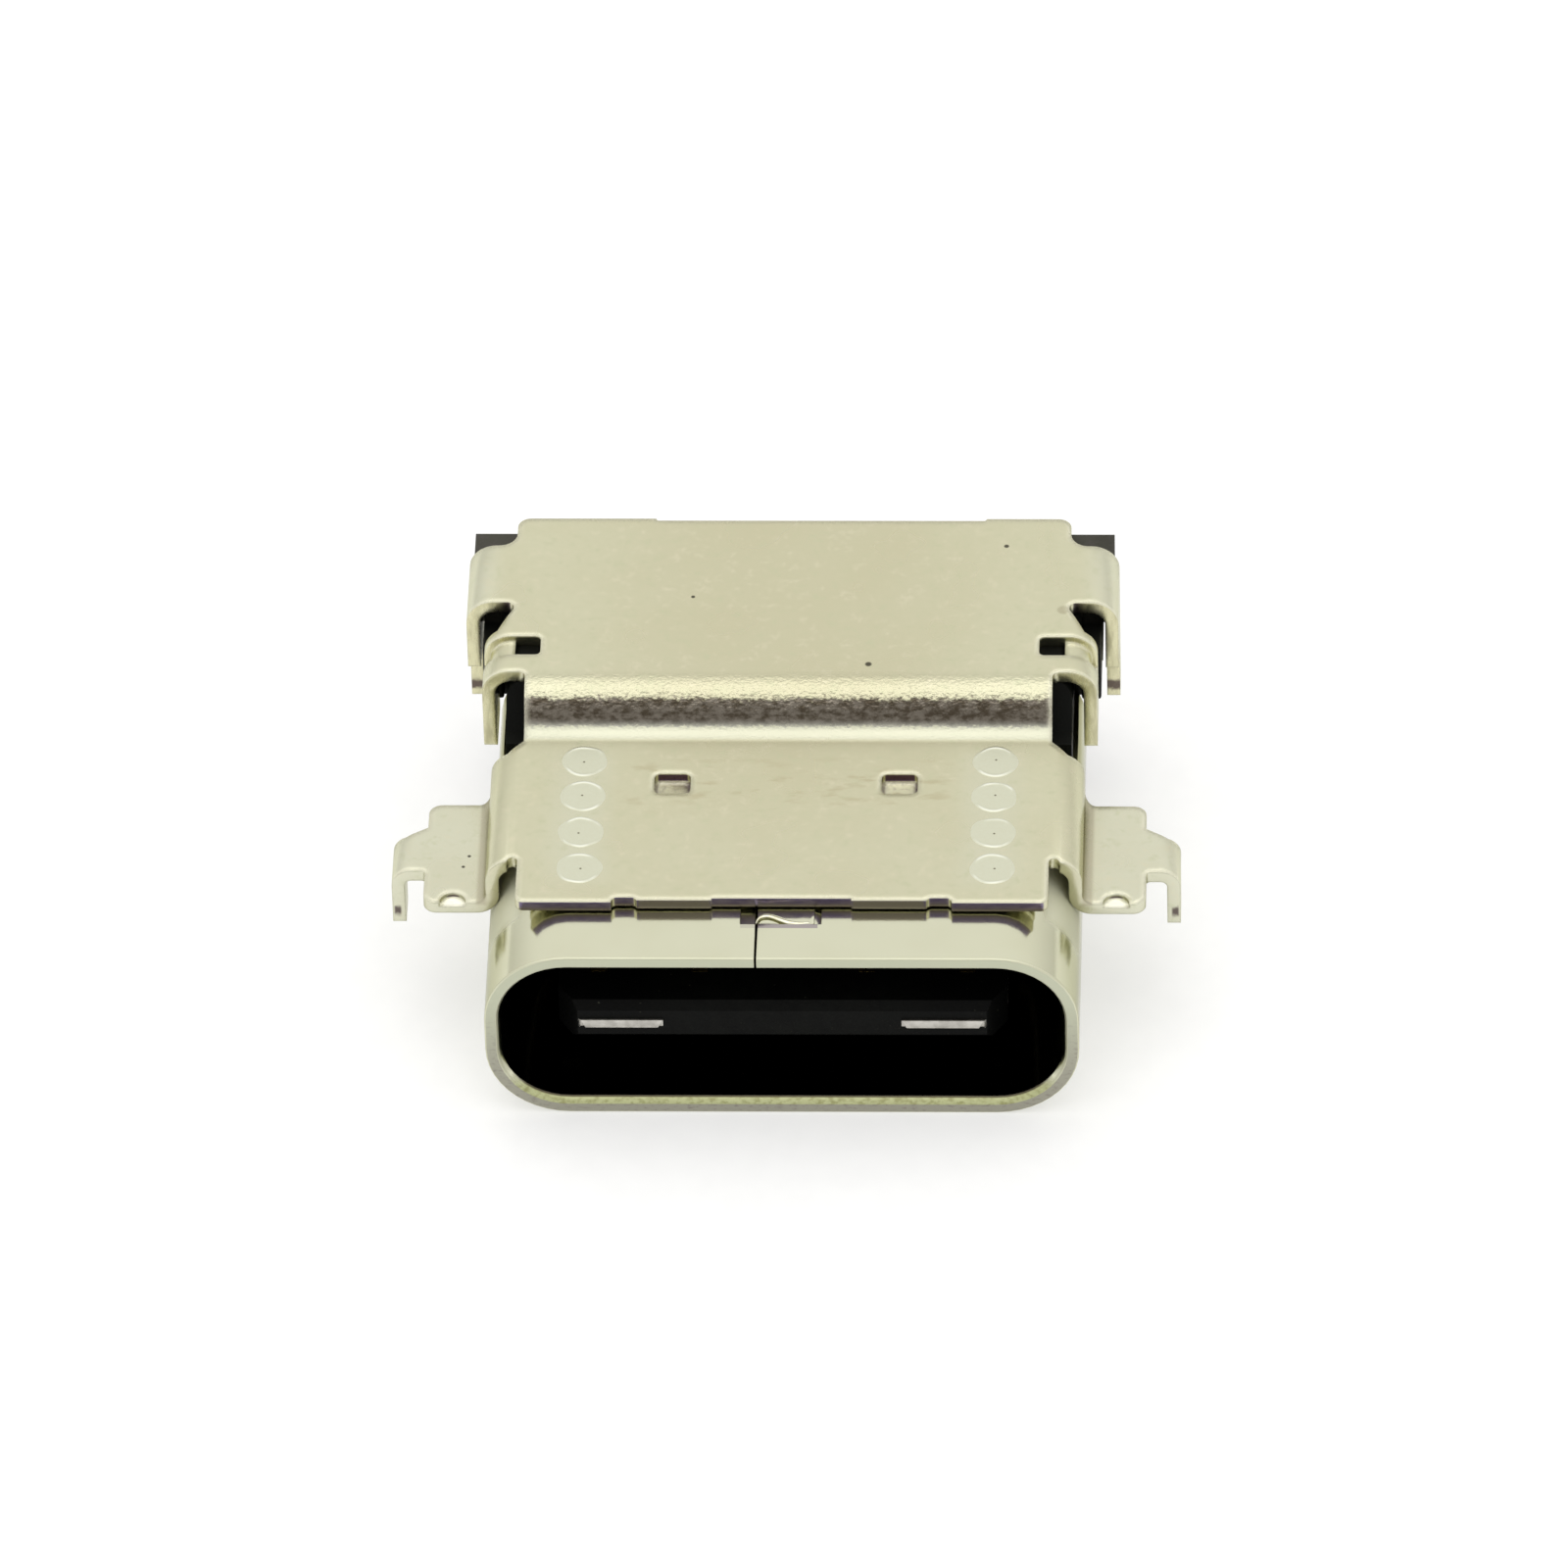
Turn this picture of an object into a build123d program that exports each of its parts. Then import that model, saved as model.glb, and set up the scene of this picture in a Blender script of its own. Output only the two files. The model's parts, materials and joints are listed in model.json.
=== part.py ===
from build123d import *
from math import radians, tan
import os

# Mid-mount USB-C socket. Millimetres, origin at the centre of the plug opening's front face,
# +X across the opening, +Y into the socket, +Z away from the board.

# Plug opening and rolled tube
mouth_width = 8.34
mouth_height = 2.56
mouth_side_flat = 0.58
mouth_depth = 4.6
tube_wall = 0.25
tube_tail = 2.3
lead_in_depth = 0.1
lead_in_wall = 0.08
lip_round = 0.03
seam_offset = -0.365
seam_gap = 0.032
lock_setback = 0.79
lock_length = 0.6
lock_left = 0.24
lock_right = 0.96
lock_depth = 0.035
lock_tab_width = 0.86
lock_crest = (0.14, 0.21)
lock_fall = (0.33, 0.155)
lock_foot = (0.58, 0.015)
tube_window_lead = 0.25
tube_window_gap = 0.08

# Cover sheet: stepped top plate
sheet = 0.2
fold_radius = 0.23
plate_inset = 0.46
plate_setback = 1.04
step_lead = 0.083
plate_corner = 0.12
edge_inner_step = 0.05
edge_centre_step = 0.094
edge_centre_half = 1.04
edge_notch_place = 2.34
edge_notch_width = 0.385
edge_notch_depth = 0.11
edge_notch_corner = 0.088
edge_lift = 0.035
edge_lift_length = 0.3
step_rise = 0.55
step_angle = 55
step_low_radius = 0.36
step_high_radius = 0.32
dimple_place = 1.7
dimple_width = 0.54
dimple_length = 0.45
dimple_lead = 0.963
dimple_depth = 0.14
dimple_corner = 0.09

# Cover sheet: wings with legs, level with the board
board_level = 0.69
web_gap = 0.03
web_foot_radius = 0.15
wing_reach = 1.48
wing_length = 2.21
wing_front_half = 0.973
wing_rear_half = 0.96
wing_corner = 0.2
wing_notch_corner = 0.06
wing_root_radius = 0.2
ear_front = 0.72
ear_rear = 0.51
ear_slant = 0.2
ear_fold_radius = 0.1
leg_reach = 0.86
leg_width = 0.56
leg_neck = 0.25
leg_tip_chamfer = 0.06
relief_radius = 0.08
coin_place = 0.53
coin_inset = 0.03
coin_radius = 0.195
coin_depth = 0.075
gusset_length = 0.503
gusset_width = 0.24
gusset_rise = 0.25

# Cover sheet: side flanges and rear tab
front_flange_gap = 0.114
front_flange_root = 0.1
front_flange_length = 1.008
front_flange_clearance = 0.02
front_flange_corner = 0.2
slot_reach = 0.44
slot_hole_inset = 0.055
slot_coin = 0.1
slot_length = 0.42
slot_drop = 0.6
slot_setback = 0.395
slot_corner = 0.08
flange_notch_width = 0.586
flange_notch_flat = 0.15
flange_notch_corner = 0.1
rear_flange_flare = 0.3
rear_flange_length = 1.32
rear_flange_clearance = 0.31
rear_leg_setback = 0.65
tab_length = 0.63
tab_corner = 0.2
tab_root_radius = 0.27
tab_break_place = 0.4
tab_break_width = 5.0
tab_break_depth = 0.045
tab_break_corner = 0.04

# Tongue and latch plate
tongue_margin = 0.47
tongue_thickness = 0.7
tongue_setback = 0.3
tongue_tip_chamfer = 0.3
tongue_tip_run = 0.45
tongue_edge = 0.12
latch_thickness = 0.15
latch_proud = 0.04
latch_slot_depth = 1.6
latch_strip_inset = 0.335
latch_strip_width = 1.24
latch_strip_slant = 0.08
latch_hook_depth = 0.3
latch_hook_front = 1.4
latch_hook_length = 0.8
latch_insulation = 0.2

# Housing
fit_gap = 0.03
riser_front_gap = 0.12
riser_slope = 50
riser_overlap = 0.08
block_lead = 0.464
ear_length = 0.504
block_gap = 0.05
block_standoff = 0.05
ear_gap = 0.03
ear_inset = 0.08
ground_thickness = 0.12
ground_inset = 0.89
ground_length = 0.9
ground_hold = 0.25

# Contacts and their carriers
contact_count = 12
contact_pitch = 0.5
contact_width = 0.25
contact_thickness = 0.12
contact_front = 1.35
long_contact_lead = 0.3
long_contacts = (1, 4, 9, 12)
contact_bend = 0.12
contact_rise_lead = 0.9
contact_rise_spacing = 0.6
contact_level_rise = 0.46
contact_level_spacing = 0.45
tail_inset = 0.51
tail_length = 0.75
pin_lead = 1.25
pin_row_pitch = 0.7
carrier_side = 0.1
carrier_wall = 0.13
carrier_setback = 0.3

# Values that follow from the sizes above
mouth_corner = (mouth_height - mouth_side_flat) / 2
tube_length = mouth_depth + tube_tail
tube_window_start = mouth_depth + tube_window_lead
tube_window_level = board_level + tube_window_gap
tube_half = mouth_width / 2 + tube_wall
tube_top = mouth_height / 2 + tube_wall
plate_half = tube_half - plate_inset
plate_top = tube_top + sheet
plate_mid = tube_top + sheet / 2
rear_top = plate_top + step_rise
rear_mid = plate_mid + step_rise
step_low_mid = step_low_radius + sheet / 2
step_high_mid = step_high_radius + sheet / 2
step_tangent = tan(radians(step_angle / 2))
step_start = mouth_depth + step_lead
step_end = step_start + (step_low_mid + step_high_mid) * step_tangent + step_rise / tan(radians(step_angle))
front_flange_start = step_end + front_flange_gap
rear_flange_start = front_flange_start + front_flange_length + flange_notch_width
wall_rear = rear_flange_start + rear_flange_length
rear_end = wall_rear + tab_length
wing_top = board_level + sheet
wing_mid = board_level + sheet / 2
wing_rear = step_start - gusset_length
wing_setback = wing_rear - wing_length
web_outer = tube_half + web_gap
leg_outer = tube_half + wing_reach
leg_tip = board_level - leg_reach
front_flange_outer = tube_half + sheet
rear_flange_outer = front_flange_outer + rear_flange_flare
rear_half = front_flange_outer - sheet - fold_radius
mid_fold = fold_radius + sheet / 2
tongue_width = (contact_count - 1) * contact_pitch + contact_width + 2 * tongue_margin
block_rear = wall_rear + ear_length
contact_rise_upper = mouth_depth + contact_rise_lead
contact_rise_lower = contact_rise_upper + contact_rise_spacing
contact_level_lower = board_level + contact_level_rise
contact_level_upper = contact_level_lower + contact_level_spacing
big = 4 * tube_half
same_place = 1e-4


def side_extrude(profile, half):
    """Extrude a profile drawn in (Y, Z) to both sides of the middle plane."""
    return extrude(Plane.YZ * profile, amount=half, both=True)


def front_extrude(profile, front, rear):
    """Extrude a profile drawn in (X, Z) from one depth to another."""
    return extrude(Plane.XZ.offset(-front) * profile, amount=front - rear)


def plan_extrude(outline, low, high):
    """Extrude an outline drawn in (X, Y) from one height to another."""
    return extrude(Plane.XY.offset(low) * outline, amount=high - low)


def sheet_profile(points, radii):
    """A sheet's section that follows a middle line with rounded bends."""
    return trace(FilletPolyline(*points, radius=radii), sheet)


def outline(points):
    return make_face(Polyline(*points, close=True))


def at_point(items, x, y):
    """The edges or corners in a list that stand on one point of the plan."""
    return [i for i in items if abs(i.center().X - x) < same_place and abs(i.center().Y - y) < same_place]


def corner_edges(shape, x, y):
    return at_point(shape.edges().filter_by(Axis.Z), x, y)


def both_sides(shape):
    return shape + mirror(shape, about=Plane.YZ)


def top_plate():
    """Front plate, slanted step and rear plate, with the front edge's cuts and the pressed dimples."""
    low_corner = step_start + step_low_mid * step_tangent
    high_corner = step_end - step_high_mid * step_tangent
    middle = [
        (plate_setback, plate_mid), (low_corner, plate_mid), (high_corner, rear_mid), (rear_end, rear_mid)]
    plate = side_extrude(sheet_profile(middle, [step_low_mid, step_high_mid]), plate_half)
    inner_step = Pos(0, plate_setback) * Rectangle(2 * edge_notch_place, 2 * edge_inner_step)
    centre_step = Pos(0, plate_setback) * Rectangle(2 * edge_centre_half, 2 * edge_centre_step)
    edge_cuts = inner_step + centre_step
    for side in (-1, 1):
        plate = fillet(corner_edges(plate, side * plate_half, plate_setback), plate_corner)
        notch = RectangleRounded(edge_notch_width, 2 * edge_notch_depth, edge_notch_corner)
        edge_cuts += Pos(side * edge_notch_place, plate_setback) * notch
        pocket = Pos(side * dimple_place, step_start - dimple_lead)
        pocket *= RectangleRounded(dimple_width, dimple_length, dimple_corner)
        plate -= plan_extrude(pocket, plate_top - dimple_depth, plate_top)
    lift = Pos(0, plate_setback) * Rectangle(2 * plate_half, 2 * edge_lift_length)
    plate -= plan_extrude(lift, tube_top, tube_top + edge_lift)
    return plate - plan_extrude(edge_cuts, tube_top, plate_top)


def leg_outline(front, top):
    """A leg's blade seen from the side, with a pointed tip."""
    rear = front + leg_width
    blade = outline([(front, top), (front, leg_tip), (rear, leg_tip), (rear, top)])
    return chamfer(blade.vertices().group_by(Axis.Y)[0], leg_tip_chamfer)


def wing():
    """One wing: a web down the tube's shoulder, a flat pad on the board, and a leg through it."""
    web_mid = web_outer - sheet / 2
    leg_mid = leg_outer - sheet / 2
    path = [
        (plate_half - mid_fold, plate_mid), (web_mid, plate_mid), (web_mid, wing_mid), (leg_mid, wing_mid),
        (leg_mid, leg_tip)]
    radii = [mid_fold, web_foot_radius + sheet / 2, ear_fold_radius + sheet / 2]
    folded = front_extrude(sheet_profile(path, radii), wing_setback, step_start)

    front_x = tube_half + wing_front_half
    rear_x = tube_half + wing_rear_half
    ear_y = wing_setback + ear_front
    notch_y = wing_rear - ear_rear
    inner_x = plate_half - mid_fold
    gusset_x = plate_half + gusset_width
    plan = outline([
        (inner_x, wing_setback), (front_x, wing_setback), (front_x, ear_y), (leg_outer, ear_y),
        (leg_outer, notch_y - ear_slant), (leg_outer - sheet, notch_y - ear_slant), (rear_x, notch_y),
        (rear_x, wing_rear), (web_outer, wing_rear), (web_outer, wing_rear + gusset_rise),
        (gusset_x, wing_rear + gusset_rise), (plate_half, step_start), (inner_x, step_start)])
    rounds = [
        (front_x, wing_setback, wing_corner), (rear_x, wing_rear, wing_corner),
        (front_x, ear_y, wing_notch_corner), (web_outer, wing_rear, wing_root_radius)]
    for x, y, radius in rounds:
        plan = fillet(at_point(plan.vertices(), x, y), radius)
    pad = folded & plan_extrude(plan, leg_tip, plate_top)

    neck = wing_mid - leg_neck
    beside_leg = outline([(ear_y, neck), (ear_y, leg_tip), (notch_y, leg_tip), (notch_y, neck)])
    beside_leg -= leg_outline(ear_y, neck)
    pad -= Pos(leg_mid, 0, 0) * side_extrude(beside_leg, sheet)
    pad -= Pos(plate_half + relief_radius, wing_setback, 0) * Cylinder(relief_radius, big)
    coin = Pos(tube_half + coin_place, wing_setback + coin_inset) * Circle(coin_radius)
    return pad - plan_extrude(coin, wing_top - coin_depth, wing_top)


def front_flange():
    """One short side wall of the rear plate, with a slanted rear edge."""
    front = front_flange_start
    rear = front + front_flange_length
    notch_front = rear_flange_start - flange_notch_flat
    outer_mid = front_flange_outer - sheet / 2
    low = board_level + front_flange_clearance
    path = [(0, rear_mid), (outer_mid, rear_mid), (outer_mid, low)]
    folded = front_extrude(sheet_profile(path, mid_fold), front, notch_front)
    plan = outline([
        (0, front), (front_flange_outer, front), (front_flange_outer, rear), (rear_half + fold_radius, rear),
        (rear_half, notch_front), (0, notch_front)])
    side = outline([
        (front, rear_top), (front, low), (rear, low), (notch_front, rear_mid), (notch_front, rear_top)])
    side = fillet(side.vertices().group_by(Axis.Y)[0], front_flange_corner)
    return folded & plan_extrude(plan, low, rear_top) & side_extrude(side, front_flange_outer)


def fold_slot():
    """The slot beside one front flange: a hole in the plate that runs out as a coined step over the fold."""
    inner = rear_half - slot_reach
    outer = front_flange_outer + slot_corner
    front = front_flange_start + slot_setback
    rear = front + slot_length
    plan = RectangleRounded(outer - inner, slot_length, slot_corner)
    plan = Pos((inner + outer) / 2, (front + rear) / 2) * plan
    hole_end = rear_half - slot_hole_inset
    hole = plan & outline([(0, front), (hole_end, front), (hole_end, rear), (0, rear)])
    low = rear_top - slot_drop
    core = block_section(front_flange_outer - slot_coin, low, rear_top - slot_coin)
    core = fillet(core.vertices().group_by(Axis.Y)[-1], fold_radius + sheet - slot_coin)
    step = plan_extrude(plan, low, rear_top) - front_extrude(core, front, rear)
    return step + plan_extrude(hole, low, rear_top)


def rear_flange():
    """One rear side wall with its leg through the board."""
    front = rear_flange_start
    rear = wall_rear
    outer_mid = rear_flange_outer - sheet / 2
    low = board_level + rear_flange_clearance
    leg_front = front + rear_leg_setback
    path = [(0, rear_mid), (outer_mid, rear_mid), (outer_mid, leg_tip)]
    folded = front_extrude(sheet_profile(path, mid_fold), front, rear)
    wall = outline([(front, rear_top), (front, low), (rear, low), (rear, rear_top)])
    side = wall + leg_outline(leg_front, rear_mid)
    return folded & side_extrude(side, rear_flange_outer)


def cover_shell():
    front = front_flange_start
    flats = outline([(0, front), (rear_half, front), (rear_half, rear_end), (0, rear_end)])
    flats = plan_extrude(flats, rear_top - sheet, rear_top)
    flats = fillet(corner_edges(flats, rear_half, rear_end), tab_corner)
    half = flats + front_flange() + rear_flange()
    half = fillet(corner_edges(half, rear_half, wall_rear), tab_root_radius)
    half = fillet(corner_edges(half, rear_half, rear_flange_start), flange_notch_corner)
    tab_break = Pos(tab_break_place, rear_end)
    tab_break *= RectangleRounded(tab_break_width, 2 * tab_break_depth, tab_break_corner)
    cover = top_plate() + both_sides(half)
    for side in (-1, 1):
        cover = fillet(corner_edges(cover, side * plate_half, front_flange_start), front_flange_root)
    cover = cover - both_sides(fold_slot()) + both_sides(wing())
    return cover - plan_extrude(tab_break, rear_top - sheet, rear_top)


def tube_section(gap):
    """The tube's outline, grown (or shrunk) from the plug opening by one gap."""
    return RectangleRounded(mouth_width + 2 * gap, mouth_height + 2 * gap, mouth_corner + gap)


def lock_pocket():
    """Plan of the sunk lock in the tube's seam: a pocket round a tab with a wavy front edge."""
    left = seam_offset - lock_left
    right = seam_offset + lock_right
    rear = lock_setback + lock_length
    pocket = outline([(left, lock_setback), (right, lock_setback), (right, rear), (left, rear)])
    tab_end = seam_offset + lock_tab_width
    wave = [(seam_offset + x, lock_setback + y) for x, y in (lock_crest, lock_fall, lock_foot)]
    front = Spline((seam_offset, lock_setback), *wave, (tab_end, lock_setback + lock_foot[1]))
    sides = Polyline(front @ 1, (tab_end, rear), (seam_offset, rear), front @ 0)
    return pocket - make_face([front, sides])


def tube_shell():
    body = front_extrude(tube_section(tube_wall), 0, tube_length)
    body = fillet(body.edges().group_by(Axis.Y)[0], lip_round)
    body -= front_extrude(tube_section(0), 0, tube_length)
    lead_in = [Plane.XZ * tube_section(lead_in_wall), Plane.XZ.offset(-lead_in_depth) * tube_section(0)]
    body -= loft(lead_in)
    window = Pos(tube_window_start + big / 2, tube_window_level + big / 2) * Rectangle(big, big)
    body -= side_extrude(window, tube_half)
    seam = Pos(seam_offset, tube_length / 2) * Rectangle(seam_gap, 2 * tube_length)
    body -= plan_extrude(seam, mouth_height / 2 - tube_wall, tube_top + tube_wall)
    return body - plan_extrude(lock_pocket(), tube_top - lock_depth, tube_top)


def contact(row, index):
    """One contact: a blade on the tongue that climbs inside the housing and comes down to the board."""
    place = (index - (contact_count + 1) / 2) * contact_pitch
    lead = long_contact_lead if index in long_contacts else 0
    blade = row * (tongue_thickness - contact_thickness) / 2
    tip = (contact_front - lead, blade)
    if row > 0:
        tail = board_level + contact_thickness / 2
        tail_drop = block_rear - tail_inset
        level = contact_level_upper
        path = [
            tip, (contact_rise_upper, blade), (contact_rise_upper, level), (tail_drop, level),
            (tail_drop, tail), (tail_drop + tail_length, tail)]
    else:
        level = contact_level_lower
        pin = contact_rise_lower + pin_lead + (index % 2) * pin_row_pitch
        path = [tip, (contact_rise_lower, blade), (contact_rise_lower, level), (pin, level), (pin, leg_tip)]
    strip = trace(FilletPolyline(*path, radius=contact_bend), contact_thickness)
    return Pos(place, 0, 0) * side_extrude(strip, contact_width / 2)


def latch_hook(side):
    """Plan of the notch that a plug's latch snaps into, in one side of the tongue."""
    place = Pos(side * tongue_width / 2, latch_hook_front + latch_hook_length / 2)
    return place * Rectangle(2 * latch_hook_depth, latch_hook_length)


def latch_plate():
    """Plate in the middle of the tongue: two bare prongs at the tip and a hook notch in each side."""
    front = tongue_setback - latch_proud
    side = tongue_width / 2
    slot_rear = tongue_setback + latch_slot_depth
    shoulder = tongue_setback + tongue_tip_run
    latch_rear = contact_rise_lower - contact_thickness / 2 - latch_insulation
    strip_outer = side - latch_strip_inset
    strip_inner = strip_outer - latch_strip_width
    plate = outline([
        (0, slot_rear), (strip_inner, slot_rear), (strip_inner, front), (strip_outer, front),
        (side, shoulder), (side, latch_rear), (0, latch_rear)])
    high = latch_thickness / 2
    half = plan_extrude(plate - latch_hook(1), -high, high)
    inner_end = outline([(strip_inner, high), (strip_inner, -high), (strip_inner + latch_strip_slant, -high)])
    outer_end = outline([(strip_outer, high), (strip_outer, -high), (strip_outer - latch_strip_slant, -high)])
    return both_sides(half - front_extrude(inner_end + outer_end, front, tongue_setback))


def ground_plate(row):
    """Thin plate on one face of the tongue's root, held by the base plug."""
    low = row * tongue_thickness / 2
    plan = Pos(0, mouth_depth + (ground_hold - ground_length) / 2)
    plan *= Rectangle(tongue_width - ground_inset, ground_length + ground_hold)
    return plan_extrude(plan, low, low + row * ground_thickness)


def carrier(row):
    """Insert moulding round one row of contacts, behind the tongue."""
    rise = contact_rise_upper if row > 0 else contact_rise_lower
    level = contact_level_upper if row > 0 else contact_level_lower
    blade = row * (tongue_thickness - contact_thickness) / 2
    wall = carrier_wall + contact_thickness / 2
    carrier_front = mouth_depth + carrier_setback
    half = contact_count * contact_pitch / 2 + carrier_side
    climb = Pos(rise, (blade + level) / 2) * Rectangle(2 * wall, level - blade + 2 * wall)
    foot = Pos((carrier_front + rise) / 2, blade) * Rectangle(rise - carrier_front, 2 * wall)
    return side_extrude(climb + foot, half)


def tongue():
    half = tongue_width / 2
    tip = half - tongue_tip_chamfer
    run = tongue_setback + tongue_tip_run
    rear = mouth_depth + fit_gap
    plan = outline([
        (-half, run), (-tip, tongue_setback), (tip, tongue_setback), (half, run),
        (half, rear), (-half, rear)])
    low = -tongue_thickness / 2
    section = outline([(tongue_setback, low), (rear, low), (rear, -low), (tongue_setback, -low)])
    section = chamfer(section.vertices().group_by(Axis.X)[0], tongue_edge)
    blade = plan_extrude(plan, low, -low) & side_extrude(section, half)
    return blade - plan_extrude(latch_hook(-1) + latch_hook(1), low, -low)


def block_section(half, low, top):
    """Section of the rear block in front view."""
    return outline([(-half, low), (half, low), (half, top), (-half, top)])


def rounded_section(half, low, top):
    """The same, with its top corners rounded to pass under the cover's folds."""
    section = block_section(half, low, top)
    return fillet(section.vertices().group_by(Axis.Y)[-1], fold_radius)


def housing():
    """Black overmoulding: tongue, base plug that fills the tube, riser under the step, and rear block."""
    plug = front_extrude(tube_section(-fit_gap), mouth_depth, tube_length)
    top = rear_top - sheet
    foot = tube_window_level + fit_gap
    front = tube_window_start + fit_gap
    riser_half = mouth_width / 2 + riser_overlap
    slope_run = (top - tube_top) / tan(radians(riser_slope))
    slope_rear = step_end + riser_front_gap
    block_front = rear_flange_start + block_lead
    riser = outline([
        (front, foot), (front, tube_top - fit_gap), (slope_rear - slope_run, tube_top - fit_gap),
        (slope_rear, top), (block_front, top), (block_front, foot)])
    low = board_level + block_standoff
    block_half = rear_flange_outer - sheet - block_gap
    ears_half = rear_flange_outer - ear_inset
    ears_front = wall_rear + ear_gap
    neck_half = front_flange_outer - sheet - block_gap
    shoulder = rounded_section(riser_half, foot, top)
    riser = side_extrude(riser, riser_half) & front_extrude(shoulder, front, block_front)
    neck = front_extrude(rounded_section(neck_half, low, top), tube_length, block_front)
    block = front_extrude(rounded_section(block_half, low, top), block_front, ears_front)
    ears = front_extrude(block_section(ears_half, low, top), ears_front, block_rear)
    return plug + tongue() + riser + neck + block + ears


contacts = {}
for index in range(1, contact_count + 1):
    contacts[f"upper_contact_{index:02d}"] = contact(1, index)
    contacts[f"lower_contact_{index:02d}"] = contact(-1, index)

parts = {"cover_shell": cover_shell(), "tube_shell": tube_shell(), "latch_plate": latch_plate()}
parts["upper_ground_plate"] = ground_plate(1)
parts["lower_ground_plate"] = ground_plate(-1)
inserts = list(contacts.values()) + [parts["latch_plate"]]
parts["upper_carrier"] = carrier(1) - inserts
parts["lower_carrier"] = carrier(-1) - inserts - parts["upper_carrier"]
parts["housing"] = housing() - inserts - [parts[n] for n in parts if n not in ("cover_shell", "tube_shell")]
parts.update(contacts)

os.makedirs("parts", exist_ok=True)
for name, shape in parts.items():
    export_step(shape, f"parts/{name}.step")
    print(name, len(shape.solids()), round(shape.volume, 4))
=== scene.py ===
import json
import math
import random

import bmesh
import bpy
from mathutils import Matrix, Vector, noise

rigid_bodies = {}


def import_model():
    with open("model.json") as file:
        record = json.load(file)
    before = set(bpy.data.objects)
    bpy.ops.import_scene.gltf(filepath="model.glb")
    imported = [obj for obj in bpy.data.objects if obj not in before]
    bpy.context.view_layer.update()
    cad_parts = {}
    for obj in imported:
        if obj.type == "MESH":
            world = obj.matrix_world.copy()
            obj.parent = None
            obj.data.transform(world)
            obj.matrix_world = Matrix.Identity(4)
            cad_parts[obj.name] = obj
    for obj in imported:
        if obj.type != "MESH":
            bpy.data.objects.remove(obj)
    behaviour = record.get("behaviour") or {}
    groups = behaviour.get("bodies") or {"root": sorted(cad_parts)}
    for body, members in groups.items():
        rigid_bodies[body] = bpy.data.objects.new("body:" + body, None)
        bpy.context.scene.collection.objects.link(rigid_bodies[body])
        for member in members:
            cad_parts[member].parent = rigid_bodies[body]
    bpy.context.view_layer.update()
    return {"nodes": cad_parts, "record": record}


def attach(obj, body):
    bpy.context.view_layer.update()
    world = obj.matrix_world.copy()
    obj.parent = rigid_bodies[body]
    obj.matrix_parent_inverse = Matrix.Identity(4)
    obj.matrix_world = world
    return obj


for leftover in list(bpy.data.objects):
    bpy.data.objects.remove(leftover)

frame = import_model()
nodes = frame["nodes"]

MM = 0.001

# Heights of the CAD part and of the floor just under it, in millimetres
TUBE_TOP = 1.53
PLATE_TOP = 1.73
FLOOR_LEVEL = -1.535

# Places of the Mix node's sockets
COLOUR_FIRST, COLOUR_SECOND, COLOUR_RESULT = 6, 7, 2
VECTOR_FIRST, VECTOR_SECOND, VECTOR_RESULT = 4, 5, 1

BEVEL_SAMPLES = 4


def linear(red, green, blue):
    """A colour given in display values from 0 to 255, as a shader takes it."""
    channels = []
    for value in (red, green, blue):
        share = value / 255
        channels.append(share / 12.92 if share <= 0.04045 else ((share + 0.055) / 1.055) ** 2.4)
    return (*channels, 1.0)


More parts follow.
